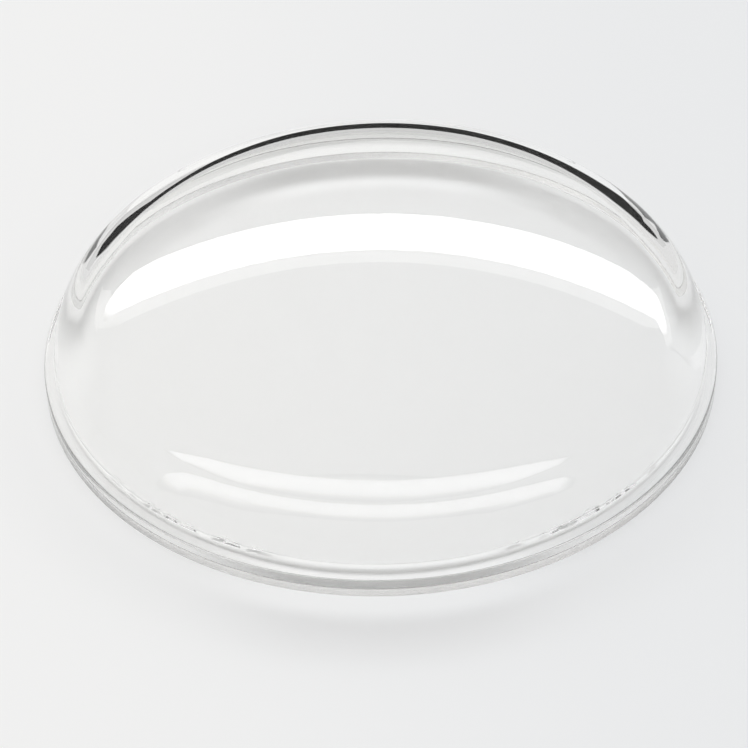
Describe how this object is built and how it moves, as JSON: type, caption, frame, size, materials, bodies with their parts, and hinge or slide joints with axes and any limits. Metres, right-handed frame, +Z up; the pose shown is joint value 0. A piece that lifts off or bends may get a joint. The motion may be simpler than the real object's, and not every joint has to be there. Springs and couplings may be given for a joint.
{
  "type": "watch crystal",
  "caption": "Clear domed watch crystal: a shallow round crown over a rounded shoulder, with a thin skirt and a flat flange at its base.",
  "frame": {"origin": "centre of the flat base, on the plane that the crystal rests on", "axes": "+Z up the axis of the dome, away from the hollow; the crystal is round, so +X and +Y are free"},
  "size_m": [0.03, 0.03, 0.0059],
  "materials": {
    "clear_acrylic": "clear acrylic, polished dome, finely turned band and flange"
  },
  "bodies": {
    "root": {"crystal": "clear_acrylic"}
  },
  "joints": []
}
